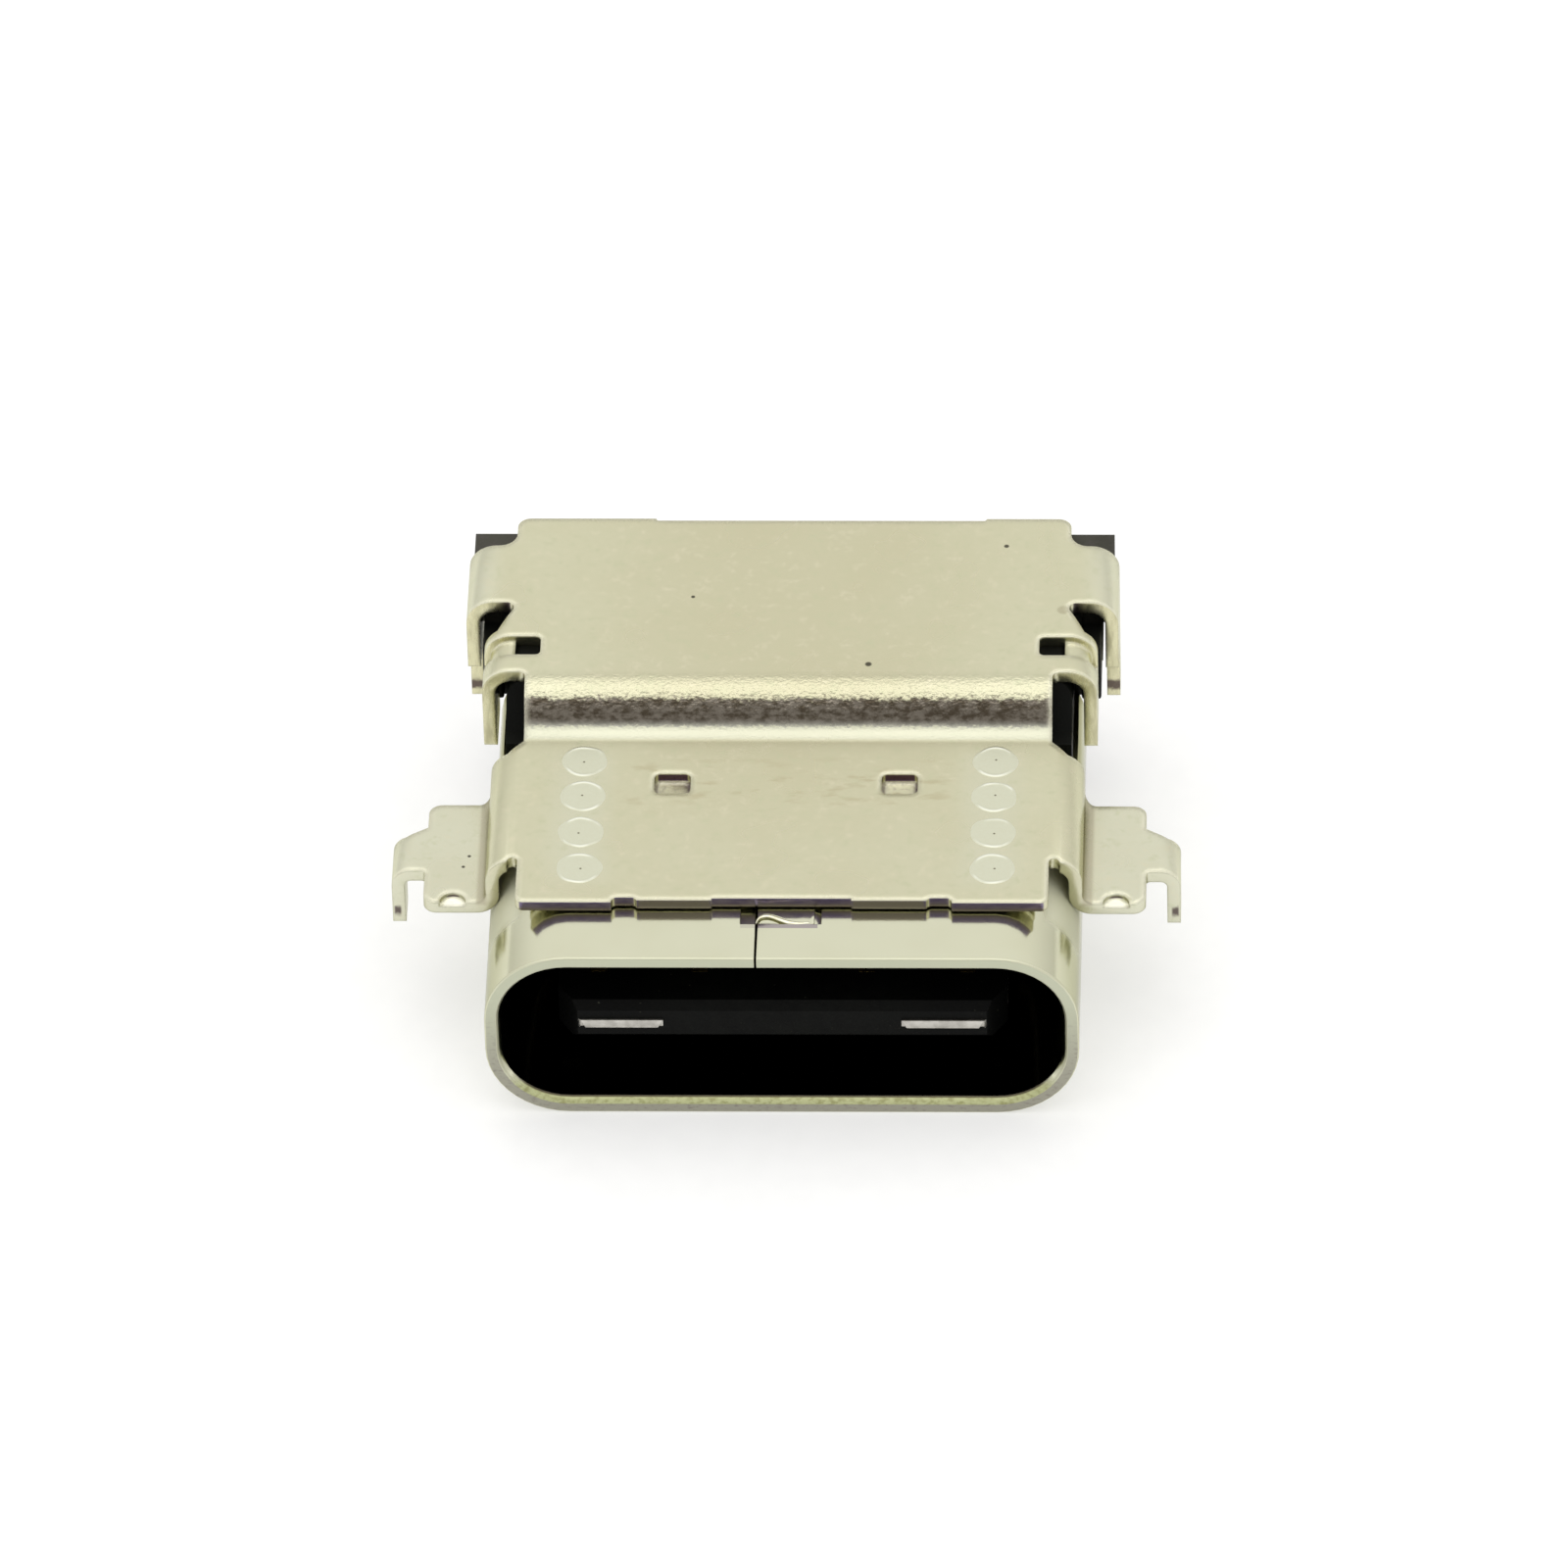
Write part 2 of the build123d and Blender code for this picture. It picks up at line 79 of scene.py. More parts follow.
class Net:
    """Short calls for building one material's or the world's node tree."""

    LEAN_FULL = 0.92
    LEAN_NONE = 0.998

    def __init__(self, owner):
        owner.use_nodes = True
        self.tree = owner.node_tree
        self.tree.nodes.clear()

    def add(self, kind, inputs=None, **settings):
        """A new node with its settings made and its inputs filled."""
        node = self.tree.nodes.new("ShaderNode" + kind)
        for name, value in settings.items():
            setattr(node, name, value)
        for name, value in (inputs or {}).items():
            self.put(node.inputs[name], value)
        return node

    def put(self, socket, value):
        """Links an input to another node's output, or sets it to a plain value."""
        if isinstance(value, bpy.types.NodeSocket):
            self.tree.links.new(value, socket)
        else:
            socket.default_value = value

    def math(self, operation, first, second=0.0):
        node = self.add("Math", operation=operation)
        self.put(node.inputs[0], first)
        self.put(node.inputs[1], second)
        return node.outputs[0]

    def product(self, *factors):
        total = factors[0]
        for factor in factors[1:]:
            total = self.math("MULTIPLY", total, factor)
        return total

    def most(self, *values):
        total = values[0]
        for value in values[1:]:
            total = self.math("MAXIMUM", total, value)
        return total

    def remainder(self, share):
        """What a share leaves of one."""
        return self.math("SUBTRACT", 1.0, share)

    def rise(self, value, low, high, bottom=0.0, top=1.0):
        """A smooth step of a value from one level to another."""
        node = self.add("MapRange", {
            "Value": value, "From Min": low, "From Max": high, "To Min": bottom, "To Max": top,
        }, interpolation_type="SMOOTHSTEP")
        return node.outputs["Result"]

    def fall(self, value, low, high, top=1.0):
        """A smooth step of a value down to zero."""
        return self.rise(value, low, high, top, 0.0)

    def band(self, value, low, high, soft):
        """One inside a range of a value and zero outside it, with soft ends."""
        start = self.rise(value, low - soft, low + soft)
        end = self.fall(value, high - soft, high + soft)
        return self.product(start, end)

    def mix(self, share, first, second):
        """One colour gone over to another by a share."""
        node = self.add("Mix", {"Factor": share}, data_type="RGBA")
        self.put(node.inputs[COLOUR_FIRST], first)
        self.put(node.inputs[COLOUR_SECOND], second)
        return node.outputs[COLOUR_RESULT]

    def mix_normals(self, share, first, second):
        """One normal gone over to another by a share."""
        node = self.add("Mix", {"Factor": share}, data_type="VECTOR")
        self.put(node.inputs[VECTOR_FIRST], first)
        self.put(node.inputs[VECTOR_SECOND], second)
        return node.outputs[VECTOR_RESULT]

    def noise(self, vector, scale, detail=3.0, roughness=0.5):
        node = self.add("TexNoise", {
            "Vector": vector, "Scale": scale, "Detail": detail, "Roughness": roughness})
        return node.outputs["Fac"]

    def place(self):
        """The point in millimetres in the part's frame, whole and by axis."""
        scaled = self.add("VectorMath", {"Scale": 1 / MM}, operation="SCALE")
        self.put(scaled.inputs[0], self.add("TexCoord").outputs["Object"])
        axes = self.add("SeparateXYZ", {"Vector": scaled.outputs[0]})
        return scaled.outputs[0], axes.outputs["X"], axes.outputs["Y"], axes.outputs["Z"]

    def normal(self):
        """The surface's normal by axis."""
        geometry = self.add("NewGeometry")
        axes = self.add("SeparateXYZ", {"Vector": geometry.outputs["Normal"]})
        return axes.outputs["X"], axes.outputs["Y"], axes.outputs["Z"]

    def stretched(self, vector, x, y, z):
        """A point scaled by axis, so that a noise read there is drawn out."""
        node = self.add("VectorMath", operation="MULTIPLY")
        self.put(node.inputs[0], vector)
        self.put(node.inputs[1], (x, y, z))
        return node.outputs[0]

    def spot(self, x, y, centre_x, centre_y, radius):
        """One inside a small round spot of the plan."""
        across = self.math("SUBTRACT", x, centre_x)
        along = self.math("SUBTRACT", y, centre_y)
        squares = self.math("ADD", self.product(across, across), self.product(along, along))
        return self.fall(self.math("SQRT", squares), radius / 2, radius)

    def bump(self, height, distance, under=None):
        """The normal over a relief of this many millimetres."""
        node = self.add("Bump", {"Height": height, "Distance": distance * MM, "Strength": 1.0})
        if under:
            self.put(node.inputs["Normal"], under)
        return node.outputs["Normal"]

    def rounded(self, radius):
        """The normal as if edges were rounded by this many millimetres."""
        return self.add("Bevel", {"Radius": radius * MM}, samples=BEVEL_SAMPLES).outputs["Normal"]

    def turned(self, bent):
        """How far a rounded normal leans from the surface's own: one at an edge and zero on a flat face."""
        node = self.add("VectorMath", operation="DOT_PRODUCT")
        self.put(node.inputs[0], self.add("NewGeometry").outputs["Normal"])
        self.put(node.inputs[1], bent)
        return self.fall(node.outputs["Value"], self.LEAN_FULL, self.LEAN_NONE)

    def surface(self, shader):
        output = self.add("OutputMaterial")
        self.put(output.inputs["Surface"], shader)


class Site:
    """The sockets that say where on the part a shaded point lies and which way it faces."""

    def __init__(self, net):
        self.point, self.x, self.y, self.z = net.place()
        self.across = net.math("ABSOLUTE", self.x)
        self.nx, self.ny, self.nz = net.normal()
        self.forward = net.math("MULTIPLY", self.ny, -1.0)


def principled(net, **values):
    node = net.add("BsdfPrincipled")
    for name, value in values.items():
        net.put(node.inputs[name.replace("_", " ")], value)
    return node.outputs["BSDF"]


def new_net(name):
    material = bpy.data.materials.new(name)
    return material, Net(material)


# Cover's plate. Places are in millimetres: across from the middle, back from the mouth and up from its centre

TOP_ROLL = 0.16
CUT_ROLL = 0.05
GRAZING_TINT = (0.8, 0.8, 0.7, 1.0)
WELD_ROW_ACROSS = (2.7, 3.45)
WELD_ROW_BACK = (1.5, 4.4)
WING_ACROSS = (4.25, 4.8)
STEP_FOOT_BACK = (4.72, 4.95)
STEP_WALL_BACK = (4.8, 5.6)
STEP_BEND_BACK = (4.93, 5.58)
STEP_BEND_UP = (1.9, 2.05)
WEB_ROOT_ACROSS = (4.44, 4.6)
WEB_ROOT_UP = (0.85, 1.1)
SMUDGE_BACK = (3.2, 4.2)
SPECKS = (
    (-1.489, 7.366, 0.04), (1.191, 5.821, 0.065), (3.215, 8.55, 0.05), (-4.74, 3.02, 0.035),
    (-4.82, 2.78, 0.035))
STAIN = (4.096, 7.075, 0.12)
FLANGE_ACROSS = (4.2, 4.3)
FLANGE_BACK = (4.8, 5.0)
LEG_ACROSS = (4.6, 4.7)
LEG_END_ACROSS = (5.2, 5.3)
EAR_ACROSS = (5.77, 5.87)
FRACTURE_UP = (0.08, 0.26)
FRONT_EDGE_BACK = (0.9, 1.3)
FRONT_EDGE_UP = (TUBE_TOP - 0.1, PLATE_TOP + 0.1)
INNER_RUN_ACROSS = (1.06, 2.12)
DIMPLE_ACROSS = (1.4, 2.0)
DIMPLE_BACK = (3.45, 4.0)
NOTCH_BACK = (7.0, 7.5)
COIN_ACROSS = (4.77, 5.2)


def cover_ground(net, site, mottle):
    """The plate's own colour: paler in front, at the weld rows and on the wings, with soft clouds."""
    colour = net.mix(net.rise(site.across, 1.0, 4.0), linear(205, 201, 172), linear(210, 208, 180))
    colour = net.mix(net.fall(site.y, 1.5, 4.8, 0.7), colour, linear(210, 208, 181))
    weld_row = net.product(
        net.band(site.across, *WELD_ROW_ACROSS, 0.3), net.band(site.y, *WELD_ROW_BACK, 0.25))
    colour = net.mix(net.product(weld_row, 0.7), colour, linear(212, 212, 190))
    colour = net.mix(net.rise(site.across, *WING_ACROSS, 0.0, 0.8), colour, linear(216, 216, 196))
    colour = net.mix(net.rise(mottle, 0.3, 0.8, 0.0, 0.22), colour, linear(196, 190, 158))
    clouds = net.noise(site.point, 5.0, 5.0, 0.7)
    colour = net.mix(net.rise(clouds, 0.52, 0.72, 0.0, 0.5), colour, linear(198, 200, 168))
    return net.mix(net.fall(clouds, 0.28, 0.48, 0.5), colour, linear(218, 212, 186))


def cover_step(net, site, colour, ripple, foot):
    """The step's wall darkened by a dappled painted reflection, purple-grey lower down, and the greyer bend
    at its foot.
    """
    lean = net.math("ADD", site.nz, net.product(net.math("SUBTRACT", ripple, 0.5), 0.3))
    wall = net.product(
        net.fall(lean, 0.7, 0.8), net.fall(site.ny, -0.45, -0.35), net.band(site.y, *STEP_WALL_BACK, 0.05),
        net.rise(site.z, PLATE_TOP + 0.02, PLATE_TOP + 0.06))
    dapple = net.noise(net.stretched(site.point, 0.6, 1.0, 1.0), 11.0, 3.0, 0.65)
    # Painted reflection: the wall's dark dapple and its purple-grey lower part stand in for a mirrored dark
    # surround
    wall_painted_reflection = net.mix(net.rise(dapple, 0.35, 0.65), linear(90, 81, 68), linear(140, 132, 121))
    low = net.fall(site.z, PLATE_TOP + 0.05, PLATE_TOP + 0.2, 0.6)
    wall_painted_reflection = net.mix(low, wall_painted_reflection, linear(122, 115, 118))
    colour = net.mix(wall, colour, wall_painted_reflection)
    return net.mix(net.product(foot, 0.6), colour, linear(204, 206, 190))


def cover_stains_and_shade(net, site, colour, web_root_shade):
    """Painted shade at the roots of the webs, a smudge between the welds, dark specks and a stain."""
    # Painted shade in the webs' concave feet
    colour = net.mix(net.product(web_root_shade, 0.55), colour, linear(168, 160, 138))
    smudge = net.noise(net.stretched(site.point, 1.2, 3.6, 1.0), 1.6, 4.0, 0.6)
    smudged = net.product(
        net.rise(smudge, 0.5, 0.68), net.band(site.y, *SMUDGE_BACK, 0.3),
        net.fall(site.across, 2.2, 2.7, 0.45))
    colour = net.mix(smudged, colour, linear(182, 172, 138))
    specks = net.most(*(net.spot(site.x, site.y, *speck) for speck in SPECKS))
    upper = net.rise(site.z, 0.7, 0.8, 0.0, 0.9)
    colour = net.mix(net.product(specks, upper), colour, linear(58, 54, 48))
    return net.mix(net.product(net.spot(site.x, site.y, *STAIN), 0.4), colour, linear(150, 140, 112))


def cover_cut_faces(net, site, colour, facing, cut, torn):
    """The flanges' pale cut faces with torn streaks, and the dark fractures of the legs."""
    colour = net.mix(cut, colour, linear(228, 224, 188))
    colour = net.mix(torn, colour, linear(136, 128, 96))
    blotch = net.math("ADD", site.z, net.product(net.noise(site.point, 9.0, 2.0), 0.14))
    leg_face = net.most(net.fall(site.across, *LEG_END_ACROSS), net.band(site.across, *EAR_ACROSS, 0.02))
    fracture = net.product(
        facing, net.rise(site.across, *LEG_ACROSS), net.band(blotch, *FRACTURE_UP, 0.05), leg_face)
    return net.mix(net.product(fracture, 0.9), colour, linear(84, 68, 70))


def cover_front_edge(net, site, colour, edge):
    """The plate's front edge in dark painted reflection, with a browner painted band below and a paler
    painted run beside its middle.
    """
    # Painted reflection: the edge's dark mottled colours stand in for a mirrored dark surround
    edge_shade_mottle = net.noise(net.stretched(site.point, 3.0, 3.0, 14.0), 1.6, 3.0, 0.6)
    edge_painted_reflection = net.mix(net.rise(edge_shade_mottle, 0.3, 0.7), linear(102, 90, 124), linear(128, 118, 136))
    low = net.fall(site.z, TUBE_TOP + 0.05, TUBE_TOP + 0.13, 0.8)
    edge_painted_reflection = net.mix(low, edge_painted_reflection, linear(112, 103, 88))
    colour = net.mix(edge, colour, edge_painted_reflection)
    # Painted reflection: the inner runs are painted paler
    inner_run = net.product(edge, net.band(site.across, *INNER_RUN_ACROSS, 0.02))
    return net.mix(inner_run, colour, linear(134, 127, 120))


def cover_pressed_places(net, site, colour, facing):
    """Painted shade on the dimples' walls and mottled floors, on the notch ends and on the walls of the
    wings' bright half-moons.
    """
    dimple = net.product(
        net.band(site.across, *DIMPLE_ACROSS, 0.02), net.band(site.y, *DIMPLE_BACK, 0.02),
        net.rise(site.z, 1.4, 1.5))
    pressed = net.product(dimple, net.fall(site.z, PLATE_TOP - 0.03, PLATE_TOP - 0.01))
    # Painted shade on the dimples' front-facing walls, and mottled painted shade on their floors
    colour = net.mix(net.product(pressed, facing), colour, linear(104, 82, 104))
    dimple_shade_mottle = net.rise(net.noise(site.point, 9.0, 2.0), 0.5, 0.7, 0.0, 0.35)
    level = net.rise(site.nz, 0.8, 0.95)
    colour = net.mix(net.product(pressed, level, dimple_shade_mottle), colour, linear(128, 118, 112))
    # Painted shade on the notch ends' cut faces
    notch_end = net.product(
        facing, net.fall(site.across, 4.3, 4.5), net.band(site.y, *NOTCH_BACK, 0.05),
        net.rise(site.z, 1.8, 1.9))
    colour = net.mix(net.product(notch_end, 0.9), colour, linear(74, 60, 72))
    coin = net.product(
        net.band(site.across, *COIN_ACROSS, 0.01), net.fall(site.y, 2.26, 2.28), net.fall(site.z, 0.84, 0.86))
    colour = net.mix(net.product(coin, level), colour, linear(238, 237, 222))
    # Painted shade on the half-moon's front-facing wall
    coin_wall = net.product(coin, facing, net.rise(site.y, 1.99, 2.01))
    return net.mix(coin_wall, colour, linear(112, 100, 98))


def cover_nickel():
    """Satin nickel plate on the stamped cover, with a painted highlight on its rolled edges, painted shade
    and reflection on its step, front edge and recesses, and a peeled bend at the step.
    """
    material, net = new_net("cover_nickel_plate")
    site = Site(net)
    facing = net.rise(site.forward, 0.8, 0.95)
    mottle = net.noise(site.point, 0.8, 2.0, 0.5)
    grain = net.noise(site.point, 30.0, 3.0, 0.6)
    ripple = net.noise(net.stretched(site.point, 0.75, 1.0, 1.0), 20.0, 2.0, 0.55)
    streak = net.noise(net.stretched(site.point, 9.0, 4.0, 1.6), 1.0, 3.0, 0.6)

    foot = net.product(net.band(site.y, *STEP_FOOT_BACK, 0.05), net.rise(site.z, 1.7, 1.74))
    bend = net.product(net.band(site.y, *STEP_BEND_BACK, 0.09), net.rise(site.z, *STEP_BEND_UP))
    # Where the webs' concave feet get painted shade and their painted highlight is held back
    web_root_shade = net.product(
        net.band(site.across, *WEB_ROOT_ACROSS, 0.04), net.band(site.z, *WEB_ROOT_UP, 0.04))
    cut = net.product(facing, net.rise(site.across, *FLANGE_ACROSS), net.rise(site.y, *FLANGE_BACK))
    torn = net.product(cut, net.rise(streak, 0.4, 0.75, 0.0, 0.4))
    edge = net.product(
        facing, net.band(site.y, *FRONT_EDGE_BACK, 0.02), net.band(site.z, *FRONT_EDGE_UP, 0.02))
    top = net.rise(site.nz, 0.3, 0.7)
    rolled_top = net.rounded(TOP_ROLL)
    # Where the painted highlight goes: top faces near rolled edges
    rolled = net.product(net.turned(rolled_top), top)

    colour = cover_ground(net, site, mottle)
    colour = cover_step(net, site, colour, ripple, foot)
    colour = cover_stains_and_shade(net, site, colour, web_root_shade)
    colour = cover_cut_faces(net, site, colour, facing, cut, torn)
    colour = cover_front_edge(net, site, colour, edge)
    colour = cover_pressed_places(net, site, colour, facing)
    # Painted highlight along the rolled edges, held back at the webs' roots
    painted_highlight_share = net.product(rolled, net.math("SUBTRACT", 0.85, web_root_shade))
    colour = net.mix(painted_highlight_share, colour, linear(252, 249, 226))

    rough = net.math("ADD", 0.24, net.product(net.rise(mottle, 0.3, 0.7), 0.04))
    rough = net.math("ADD", rough, net.product(torn, 0.3))
    rough = net.math("SUBTRACT", rough, net.product(net.most(edge, bend), 0.09))
    peel = net.math("ADD", net.product(ripple, bend), net.product(ripple, foot, 0.25))
    edges = net.mix_normals(top, net.rounded(CUT_ROLL), rolled_top)
    fine = net.bump(grain, 0.0008, under=edges)
    net.surface(principled(
        net, Base_Color=colour, Metallic=1.0, Roughness=rough, Specular_Tint=GRAZING_TINT,
        Normal=net.bump(peel, 0.02, under=fine)))
    return material


# Tube's plate, with places in millimetres as on the cover

SEAM_ROLL = 0.02
SEAM_ACROSS = (-1.0, 1.0)
SEAM_UP = (1.285, 1.3)
POCKET_ACROSS = (-0.605, 0.545)
POCKET_BACK = (0.698, 0.792)
POCKET_UP = (TUBE_TOP - 0.05, TUBE_TOP - 0.04)
TAIL_BACK = (4.5, 4.8)
TAIL_UP = (0.55, 0.7)
LIP_BACK = (0.01, 0.03)
SILL_BACK = (0.09, 0.12)
SILL_UP = (-1.1, -0.8)
BORE_BACK = (0.085, 0.12)
WEB_SIDE_ACROSS = (3.9, 4.5)
WEB_SIDE_BACK = (1.2, 4.0)


def tube_outside(net, site, tail):
    """The tube's colour: darker at its sides and olive at its tail as painted reflection, with a purple strip
    of painted shade ahead of the lock's pocket.
    """
    mottle = net.noise(site.point, 0.9, 2.0)
    colour = net.mix(net.rise(mottle, 0.35, 0.75, 0.0, 0.5), linear(216, 216, 192), linear(209, 208, 182))
    # Painted reflection: the tube's sides darker
    sideways = net.rise(net.math("ABSOLUTE", site.nx), 0.6, 0.95, 0.0, 0.6)
    colour = net.mix(net.product(sideways, net.rise(site.y, 0.0, 0.02)), colour, linear(176, 176, 146))
    # Painted reflection: olive on the tube's upper tail between the parts
    colour = net.mix(net.product(tail, 0.8), colour, linear(160, 158, 112))
    # Painted shade in the pocket ahead of the lock's rim
    pocket = net.product(
        net.band(site.y, *POCKET_BACK, 0.006), net.band(site.x, *POCKET_ACROSS, 0.008),
        net.rise(site.z, *POCKET_UP))
    darker = net.rise(site.x, -0.4, -0.35, 0.3, 0.75)
    return net.mix(net.product(pocket, darker), colour, linear(150, 138, 150))


def tube_mouth(net, site, colour, inward, sill):
    """The bore in black painted shade; the lip, lighter at the top as painted light and greyer below as
    painted shade, with torn speckle low down; and the sill inside the lip's lower run, a yellow-green strip
    of painted light going over to painted shade deeper in.
    """
    seam = net.product(net.band(site.x, *SEAM_ACROSS, 0.02), net.rise(site.z, *SEAM_UP))
    # Painted shade: the inside of the tube is painted black
    bore = net.product(inward, net.rise(site.y, *BORE_BACK), net.remainder(seam))
    colour = net.mix(bore, colour, linear(14, 14, 13))
    lip = net.product(net.rise(site.forward, 0.9, 0.98), net.fall(site.y, *LIP_BACK))
    torn = net.noise(net.stretched(site.point, 9.0, 4.0, 22.0), 1.0, 3.0, 0.6)
    # Painted light at the lip's top and painted shade toward its bottom
    low = net.fall(site.z, -0.9, 0.9)
    lip_colour = net.mix(low, linear(194, 197, 175), linear(166, 164, 150))
    speckle = net.product(net.rise(torn, 0.5, 0.72), low, 0.55)
    lip_colour = net.mix(speckle, lip_colour, linear(122, 114, 112))
    colour = net.mix(lip, colour, lip_colour)
    # Painted light on the sill's front, painted shade behind it
    sill_colour = net.mix(net.rise(torn, 0.4, 0.7), linear(202, 206, 156), linear(166, 166, 116))
    sill_colour = net.mix(net.rise(site.y, 0.07, 0.09), sill_colour, linear(84, 74, 52))
    return net.mix(sill, colour, sill_colour)


def tube_nickel():
    """Brighter plate on the rolled tube, dulled on the sill and on the shoulders under the cover's webs."""
    material, net = new_net("tube_nickel_plate")
    site = Site(net)
    grain = net.noise(site.point, 30.0, 3.0, 0.6)
    outward = net.math("ADD", net.product(site.nx, site.x), net.product(site.nz, site.z))
    inward = net.fall(outward, -0.3, -0.1)
    sill = net.product(inward, net.fall(site.z, *SILL_UP), net.fall(site.y, *SILL_BACK))
    tail = net.product(net.rise(site.y, *TAIL_BACK), net.rise(site.z, *TAIL_UP))
    web_side = net.product(
        net.band(site.across, *WEB_SIDE_ACROSS, 0.05), net.band(site.y, *WEB_SIDE_BACK, 0.2),
        net.rise(site.z, 0.4, 0.6))
    front = net.fall(site.y, 0.03, 0.06)

    colour = tube_outside(net, site, tail)
    colour = tube_mouth(net, site, colour, inward, sill)
    dulled = net.most(net.product(sill, 0.7), net.product(web_side, 0.85))
    rough = net.most(0.13, net.product(front, 0.42), net.product(web_side, 0.55), net.product(tail, 0.32))
    net.surface(principled(
        net, Base_Color=colour, Metallic=net.remainder(dulled), Roughness=rough, Specular_Tint=GRAZING_TINT,
        Normal=net.bump(grain, 0.0006, under=net.rounded(SEAM_ROLL))))
    return material


# Plastic, strips and worked plate

PLASTIC_SHEEN = 0.08
TONGUE_BACK = (3.0, 4.0)
BLOCK_BACK = (7.3, 7.6)


def moulded(name, tongue, block, rough):
    """Moulded plastic with a fine spark-eroded grain and faint flow clouds, blacker on the tongue as painted
    shade inside the mouth, its ends darker still in painted shade.
    """
    material, net = new_net(name)
    point, x, y = net.place()[:3]
    grain = net.noise(point, 22.0, 4.0, 0.6)
    clouds = net.noise(point, 1.4, 3.0)
    # Painted shade: the tongue's colour is the blacker one, for its place inside the mouth
    shade = net.mix(net.rise(y, *BLOCK_BACK), tongue, block)
    shade = net.mix(net.rise(clouds, 0.35, 0.75, 0.0, 0.25), shade, linear(6, 6, 6))
    rubbed = net.noise(point, 4.0, 5.0, 0.7)
    # Painted shade: the tongue's ends go darker, with rubbed blotches mixed in
    ends = net.rise(net.math("ABSOLUTE", x), 1.3, 2.4, 0.0, 0.75)
    dull = net.product(net.most(ends, net.rise(rubbed, 0.4, 0.6, 0.0, 0.5)), net.fall(y, *TONGUE_BACK))
    shade = net.mix(dull, shade, linear(5, 5, 5))
    scuffs = net.product(
        net.rise(net.noise(point, 7.0, 5.0, 0.7), 0.4, 0.75), net.rise(y, *BLOCK_BACK, 0.0, 0.35))
    shade = net.mix(scuffs, shade, linear(84, 77, 80))
    dust = net.product(net.rise(net.noise(point, 14.0, 2.0), 0.72, 0.78), net.fall(y, *TONGUE_BACK, 0.5))
    shade = net.mix(dust, shade, linear(84, 86, 74))
    roughness = net.math("ADD", rough, net.product(net.rise(grain, 0.3, 0.7), 0.12))
    net.surface(principled(
        net, Base_Color=shade, Roughness=roughness, Specular_IOR_Level=PLASTIC_SHEEN,
        Normal=net.bump(grain, 0.004)))
    return material


def stamped(name, bright, dull, rough):
    """Bare or plated strip with rolling lines along its length."""
    material, net = new_net(name)
    point = net.place()[0]
    rolled = net.noise(net.stretched(point, 7.0, 1.2, 7.0), 1.0, 3.0)
    cloud = net.noise(point, 2.2, 2.0)
    colour = net.mix(net.rise(rolled, 0.35, 0.7, 0.0, 0.6), bright, dull)
    colour = net.mix(net.rise(cloud, 0.5, 0.8, 0.0, 0.3), colour, dull)
    net.surface(principled(
        net, Base_Color=colour, Metallic=1.0, Roughness=net.rise(cloud, 0.2, 0.8, rough, rough + 0.12),
        Normal=net.bump(rolled, 0.003)))
    return material


WORKED_ROUGHNESS = 0.3
WORKED_RELIEF = 0.0008


def weld_metal():
    """The cover's plate where a weld has remelted it: paler, with a painted highlight on its rim and a
    scorched pit.
    """
    material, net = new_net("weld_nickel")
    pit = net.add("Attribute", attribute_name="pit").outputs["Fac"]
    rim = net.add("Attribute", attribute_name="rim").outputs["Fac"]
    grain = net.noise(net.place()[0], 20.0, 3.0, 0.6)
    colour = net.mix(net.rise(grain, 0.35, 0.7, 0.0, 0.3), linear(214, 215, 194), linear(209, 208, 184))
    # Painted highlight along the weld's rim, strongest on its front and back arcs
    colour = net.mix(net.rise(rim, 0.15, 0.9, 0.0, 0.9), colour, linear(240, 241, 228))
    colour = net.mix(net.rise(pit, 0.35, 0.8), colour, linear(104, 98, 78))
    net.surface(principled(
        net, Base_Color=colour, Metallic=1.0, Roughness=WORKED_ROUGHNESS,
        Normal=net.bump(grain, WORKED_RELIEF)))
    return material


def rim_nickel():
    """Plate on the raised rim of the seam's lock, painted bright as a highlight."""
    material, net = new_net("seam_rim_nickel")
    grain = net.noise(net.place()[0], 16.0, 3.0, 0.6)
    # Painted highlight: the rim's whole colour is lighter than the tube's
    colour = net.mix(net.rise(grain, 0.35, 0.7), linear(252, 250, 228), linear(240, 236, 204))
    net.surface(principled(
        net, Base_Color=colour, Metallic=1.0, Roughness=WORKED_ROUGHNESS,
        Normal=net.bump(grain, WORKED_RELIEF)))
    return material


MATERIALS = {
    "cover_nickel": cover_nickel(),
    "tube_nickel": tube_nickel(),
    # The first plastic colour is the tongue's painted shade, the second the block's
    "black_plastic": moulded("black_plastic_moulded", linear(14, 15, 13), linear(70, 69, 62), 0.42),
    "carrier_plastic": moulded("carrier_plastic_moulded", linear(24, 24, 22), linear(60, 60, 54), 0.5),
    "latch_steel": stamped("latch_steel_strip", linear(208, 205, 198), linear(160, 157, 150), 0.3),
    "contact_gold": stamped("contact_gold_flash", linear(232, 196, 118), linear(206, 168, 92), 0.24),
}
WELD_MATERIAL = weld_metal()
RIM_MATERIAL = rim_nickel()
for part in frame["record"]["subparts"]:
    mesh = nodes[part["node"]].data
    mesh.materials.clear()
    mesh.materials.append(MATERIALS[part["material_slot"]])

# Rounded edges on the solids, in millimetres

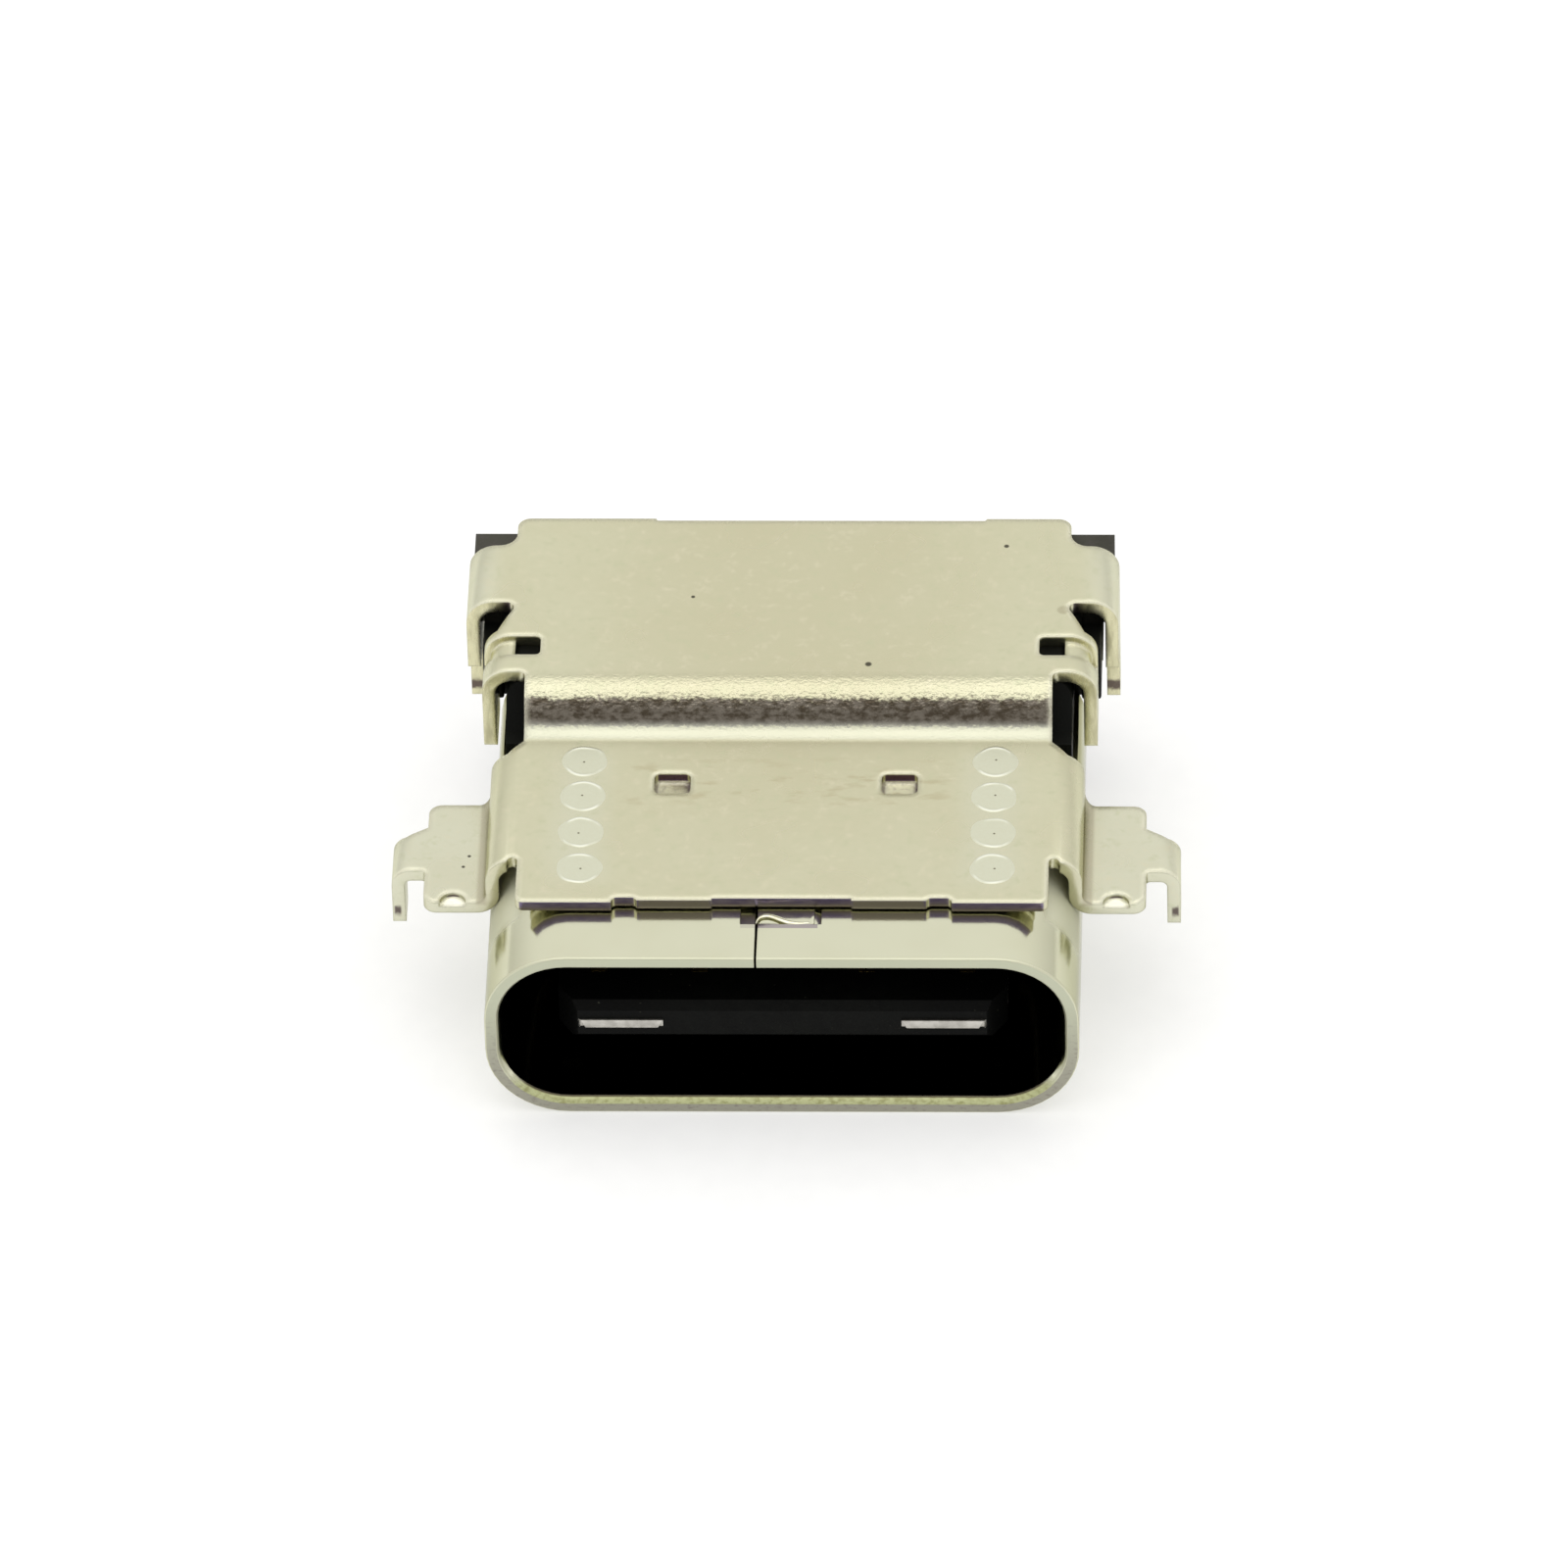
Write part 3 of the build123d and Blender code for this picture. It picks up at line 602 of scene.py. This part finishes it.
EDGE_ROUND = {"cover_shell": 0.022, "tube_shell": 0.02, "housing": 0.02, "latch_plate": 0.012}
CONTACT_EDGE = 0.012
EDGE_SEGMENTS = 3
EDGE_ANGLE = math.radians(28)
FLAT_ANGLE = math.radians(0.4)
JOIN_GAP = 0.0004
for name, node in nodes.items():
    join = node.modifiers.new("join", "WELD")
    join.merge_threshold = JOIN_GAP * MM
    flat = node.modifiers.new("flats", "DECIMATE")
    flat.decimate_type = "DISSOLVE"
    flat.angle_limit = FLAT_ANGLE
    edge = node.modifiers.new("edges", "BEVEL")
    edge.width = EDGE_ROUND.get(name, CONTACT_EDGE) * MM
    edge.segments = EDGE_SEGMENTS
    edge.limit_method = "ANGLE"
    edge.angle_limit = EDGE_ANGLE
    edge.use_clamp_overlap = True
    shade = node.modifiers.new("shading", "WEIGHTED_NORMAL")
    shade.keep_sharp = False


def new_piece(name, shape, material):
    """An object in the scene made from a finished shape, which is used up."""
    mesh = bpy.data.meshes.new(name)
    shape.to_mesh(mesh)
    shape.free()
    mesh.materials.append(material)
    made = bpy.data.objects.new(name, mesh)
    bpy.context.scene.collection.objects.link(made)
    return made


# Weld marks between the cover and the tube, in millimetres and in shares of a mark's radius and height

WELD_ROWS = (-3.03, 3.12)
WELD_DEPTHS = (1.806, 2.62, 3.43, 4.225)
WELD_RADIUS = 0.36
WELD_HEIGHT = 0.007
WELD_RINGS = 28
WELD_SEGMENTS = 64
RIGHT_ROW_SEED = 10
NOISE_SHIFT = 50
WOBBLE_SHARE = 0.07
WOBBLE_PITCH = 1.3
RIDGE_PLACE = 0.86
RIDGE_WIDTH = 0.06
RIDGE_SHARE = 0.72
RIDGE_GAIN = 1.25
RIDGE_CUT = 0.1
UNEVEN_SHARE = 0.8
UNEVEN_PITCH = 1.7
DISH_SHARE = 0.2
DISH_POWER = 6
PIT_ACROSS = (-0.04, 0.04)
PIT_BACK = (-0.03, 0.05)
PIT_RADIUS = 0.022
PIT_SHARE = 0.85
SKIRT_PLACE = 0.93
SKIRT_SHARE = 0.3


def weld_mark(name, centre_x, centre_y, seed):
    """A low round bead with an uneven ridge at its rim, a pit in the middle and a skirt sunk in the plate."""
    rng = random.Random(seed)
    shift = Vector((rng.uniform(0, NOISE_SHIFT), rng.uniform(0, NOISE_SHIFT), 0))
    pit_x = rng.uniform(*PIT_ACROSS)
    pit_y = rng.uniform(*PIT_BACK)
    shape = bmesh.new()
    pits = shape.verts.layers.float.new("pit")
    rims = shape.verts.layers.float.new("rim")
    rows = []
    for ring in range(WELD_RINGS + 1):
        share = ring / WELD_RINGS
        row = []
        for step in range(WELD_SEGMENTS if ring else 1):
            angle = 2 * math.pi * step / WELD_SEGMENTS
            wobble = noise.noise(shift + Vector((math.cos(angle), math.sin(angle), 0)) * WOBBLE_PITCH)
            reach = WELD_RADIUS * share * (1 + WOBBLE_SHARE * wobble)
            px = reach * math.cos(angle)
            py = reach * math.sin(angle)
            uneven = noise.noise(shift * 2 + Vector((math.cos(angle), math.sin(angle), 1)) * UNEVEN_PITCH)
            strength = RIDGE_GAIN * abs(math.sin(angle)) ** 2 - RIDGE_CUT + UNEVEN_SHARE * uneven
            ridge = math.exp(-((share - RIDGE_PLACE) / RIDGE_WIDTH) ** 2) * max(0.0, min(1.0, strength))
            dish = DISH_SHARE * (1 - share ** DISH_POWER)
            pit = math.exp(-((px - pit_x) ** 2 + (py - pit_y) ** 2) / PIT_RADIUS ** 2)
            skirt = SKIRT_SHARE * max(0.0, (share - SKIRT_PLACE) / (1 - SKIRT_PLACE))
            height = WELD_HEIGHT * ((dish + RIDGE_SHARE * ridge) * (1 - PIT_SHARE * pit) - skirt)
            vert = shape.verts.new((
                (centre_x + px) * MM, (centre_y + py) * MM, (PLATE_TOP + height) * MM))
            vert[pits] = pit
            # The rim weight drives the painted highlight in the weld's material
            vert[rims] = min(1.0, ridge)
            row.append(vert)
        rows.append(row)
    for step in range(WELD_SEGMENTS):
        following = (step + 1) % WELD_SEGMENTS
        shape.faces.new((rows[0][0], rows[1][step], rows[1][following]))
        for ring in range(1, WELD_RINGS):
            shape.faces.new((
                rows[ring][step], rows[ring + 1][step], rows[ring + 1][following], rows[ring][following]))
    for face in shape.faces:
        face.smooth = True
    piece = new_piece(name, shape, WELD_MATERIAL)
    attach(piece, "root")


for side, place in zip(("left", "right"), WELD_ROWS):
    for number, depth in enumerate(WELD_DEPTHS, 1):
        weld_mark(f"weld_{side}_{number}", place, depth, number + (RIGHT_ROW_SEED if place > 0 else 0))


# Rolled rim of the seam's lock on the tube, in millimetres and in shares of its width

RIM_LINE = (
    (-0.372, 0.80), (-0.352, 0.88), (-0.305, 0.94), (-0.22, 0.968), (-0.13, 0.95), (-0.02, 0.893),
    (0.09, 0.838), (0.2, 0.812), (0.31, 0.81), (0.42, 0.826))
RIM_SPANS = len(RIM_LINE) - 1
RIM_HALF_WIDTH = 0.032
RIM_HEIGHT = 0.022
RIM_SINK = 0.004
RIM_SIDES = 8
RIM_STEPS = 6
RIM_START_SHARE = 0.7
RIM_SWELL = 0.6
RIM_TIP_SHARE = 0.35
RIM_TAPER_RATE = 2.2
RIM_LOOK_AHEAD = 0.05


def rim_point(at):
    """A point of the smooth line through the rim's places, at a place counted in its spans."""
    span = min(int(at), RIM_SPANS - 1)
    part = at - span
    a, b, c, d = (Vector(RIM_LINE[min(max(span + step, 0), RIM_SPANS)]) for step in (-1, 0, 1, 2))
    square = 2 * a - 5 * b + 4 * c - d
    cube = 3 * b - a - 3 * c + d
    return 0.5 * (2 * b + (c - a) * part + square * part ** 2 + cube * part ** 3)


def lock_rim():
    """A half-round bead along the rim's line, thin at its tips and wider toward its right end."""
    shape = bmesh.new()
    rows = []
    count = RIM_SPANS * RIM_STEPS
    for step in range(count + 1):
        at = step / RIM_STEPS
        centre = rim_point(at)
        before = rim_point(max(at - RIM_LOOK_AHEAD, 0))
        after = rim_point(min(at + RIM_LOOK_AHEAD, RIM_SPANS))
        ahead = (after - before).normalized()
        aside = Vector((-ahead.y, ahead.x))
        taper = min(1.0, RIM_TIP_SHARE + RIM_TAPER_RATE * min(step, count - step) / count)
        half_width = RIM_HALF_WIDTH * taper * (RIM_START_SHARE + RIM_SWELL * step / count)
        row = []
        for side in range(RIM_SIDES + 1):
            angle = math.pi * side / RIM_SIDES
            place = centre + aside * (half_width * math.cos(angle))
            level = TUBE_TOP - RIM_SINK + RIM_HEIGHT * taper * math.sin(angle)
            row.append(shape.verts.new((place.x * MM, place.y * MM, level * MM)))
        rows.append(row)
    for first, second in zip(rows, rows[1:]):
        for side in range(RIM_SIDES):
            face = shape.faces.new((first[side], first[side + 1], second[side + 1], second[side]))
            face.smooth = True
    shape.faces.new(rows[0])
    shape.faces.new(rows[-1])
    bmesh.ops.recalc_face_normals(shape, faces=shape.faces)
    return shape


rim = new_piece("seam_lock_rim", lock_rim(), RIM_MATERIAL)
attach(rim, "root")


# Plastic shoulders that close the housing's sides ahead of its rear block, in millimetres

SHOULDER_SIDES = (4.36, 4.66)
SHOULDER_DEPTHS = (6.74, 7.72)
SHOULDER_HEIGHTS = (0.78, 1.78)
SHOULDER_EDGE = 0.04
SHOULDER_FLAT = 0.01
for side, sign in (("left", -1), ("right", 1)):
    shape = bmesh.new()
    corners = [
        shape.verts.new((sign * across * MM, depth * MM, height * MM))
        for height in SHOULDER_HEIGHTS for depth in SHOULDER_DEPTHS for across in SHOULDER_SIDES]
    bmesh.ops.convex_hull(shape, input=corners)
    bmesh.ops.dissolve_limit(shape, angle_limit=SHOULDER_FLAT, verts=shape.verts, edges=shape.edges)
    bmesh.ops.bevel(
        shape, geom=list(shape.edges), offset=SHOULDER_EDGE * MM, offset_type="OFFSET",
        segments=EDGE_SEGMENTS, profile=0.5, affect="EDGES")
    bmesh.ops.recalc_face_normals(shape, faces=shape.faces)
    piece = new_piece(f"housing_shoulder_{side}", shape, MATERIALS["black_plastic"])
    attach(piece, "root")


# Floor of white paper, which looks brighter than the light that it throws back on the part

FLOOR_HALF = 2000
PAPER_DARK = (0.54, 0.54, 0.54, 1)
PAPER_LIGHT = (0.56, 0.56, 0.56, 1)
PAPER_LIFT = 0.47
WHITE = (1, 1, 1, 1)
floor_mesh = bpy.data.meshes.new("floor")
corners = [
    (x * FLOOR_HALF * MM, y * FLOOR_HALF * MM, FLOOR_LEVEL * MM)
    for x, y in ((-1, -1), (1, -1), (1, 1), (-1, 1))]
floor_mesh.from_pydata(corners, [], [(0, 1, 2, 3)])
floor = bpy.data.objects.new("floor", floor_mesh)
bpy.context.scene.collection.objects.link(floor)
floor_material, net = new_net("floor_paper")
fibre = net.noise(net.place()[0], 3.0, 3.0)
paper = net.mix(net.rise(fibre, 0.3, 0.7), PAPER_DARK, PAPER_LIGHT)
matte = net.add("BsdfDiffuse", {"Color": paper}).outputs[0]
rays = net.add("LightPath").outputs
seen = net.most(rays["Is Camera Ray"], rays["Is Glossy Ray"], rays["Is Transmission Ray"])
lift = net.add("Emission", {"Color": WHITE, "Strength": net.product(seen, PAPER_LIFT)}).outputs[0]
total = net.add("AddShader")
net.put(total.inputs[0], matte)
net.put(total.inputs[1], lift)
net.surface(total.outputs[0])
floor_mesh.materials.append(floor_material)

# World: a bright tent, brightest overhead, with a darker opening where a photographer stands

TENT_COLOUR = (1.0, 0.995, 0.97, 1)
TENT_FOOT = 0.78
ZENITH_LIFT = 0.6
OPENING_ELEVATION = math.radians(30)
OPENING_EDGE = (0.84, 0.92)
OPENING_SHADE = 0.38
world = bpy.data.worlds.new("tent")
bpy.context.scene.world = world
net = Net(world)
direction = net.add("TexCoord").outputs["Generated"]
height = net.add("SeparateXYZ", {"Vector": direction}).outputs["Z"]
zenith = net.rise(height, 0.74, 0.96, 0.0, ZENITH_LIFT)
tent = net.math("ADD", net.rise(height, 0.0, 0.6, TENT_FOOT, 1.0), zenith)
toward = net.add("VectorMath", operation="DOT_PRODUCT")
net.put(toward.inputs[0], direction)
net.put(toward.inputs[1], (0, -math.cos(OPENING_ELEVATION), math.sin(OPENING_ELEVATION)))
opening = net.rise(toward.outputs["Value"], *OPENING_EDGE)
tent = net.product(tent, net.remainder(net.product(opening, OPENING_SHADE)))
tent_light = net.add("Background", {"Color": TENT_COLOUR, "Strength": tent})
plain = net.add("Background", {"Color": WHITE, "Strength": 1.0})
choice = net.add("MixShader", {"Fac": net.add("LightPath").outputs["Is Camera Ray"]})
net.put(choice.inputs[1], tent_light.outputs[0])
net.put(choice.inputs[2], plain.outputs[0])
net.put(net.add("OutputWorld").inputs["Surface"], choice.outputs[0])

# Lamp: one wide panel overhead and behind, for a soft shadow, in millimetres and watts

PANEL_SIZE = (250, 200)
PANEL_POWER = 0.12
PANEL_PLACE = Vector((-80, 120, 320)) * MM
PANEL_AIM = Vector((0, 4, 0)) * MM
panel_data = bpy.data.lights.new("panel", "AREA")
panel_data.shape = "RECTANGLE"
panel_data.size = PANEL_SIZE[0] * MM
panel_data.size_y = PANEL_SIZE[1] * MM
panel_data.energy = PANEL_POWER
panel = bpy.data.objects.new("panel", panel_data)
panel.location = PANEL_PLACE
panel.rotation_euler = (PANEL_AIM - PANEL_PLACE).to_track_quat("-Z", "Y").to_euler()
panel.visible_glossy = False
bpy.context.scene.collection.objects.link(panel)

# Camera, found from the photo. Lengths are in millimetres, apart from the clips, which are in metres

TARGET = Vector((0, 4.5, 0.5)) * MM
ELEVATION = math.radians(41.172)
AZIMUTH = math.radians(2.653)
ROLL = math.radians(1.64)
DISTANCE = 294.8 * MM
LENS = 450.6
SENSOR = 36.0
PIXELS_PER_MM = 67.93
OFF_CENTRE_PIXELS = (-5.3, 27.73)
NEAR_CLIP = 0.01
FAR_CLIP = 20
back = Vector((
    math.sin(AZIMUTH) * math.cos(ELEVATION), -math.cos(AZIMUTH) * math.cos(ELEVATION), math.sin(ELEVATION)))
right = Vector((math.cos(AZIMUTH), math.sin(AZIMUTH), 0))
up = back.cross(right)
camera_x = right * math.cos(ROLL) - up * math.sin(ROLL)
camera_y = right * math.sin(ROLL) + up * math.cos(ROLL)
off_centre = (camera_x * OFF_CENTRE_PIXELS[0] + camera_y * OFF_CENTRE_PIXELS[1]) / PIXELS_PER_MM
eye = TARGET + off_centre * MM + back * DISTANCE
camera_data = bpy.data.cameras.new("camera")
camera_data.lens = LENS
camera_data.sensor_width = SENSOR
camera_data.clip_start = NEAR_CLIP
camera_data.clip_end = FAR_CLIP
camera = bpy.data.objects.new("camera", camera_data)
camera.matrix_world = Matrix.Translation(eye) @ Matrix((camera_x, camera_y, back)).transposed().to_4x4()
bpy.context.scene.collection.objects.link(camera)
bpy.context.scene.camera = camera
bpy.context.scene.view_settings.view_transform = "Standard"
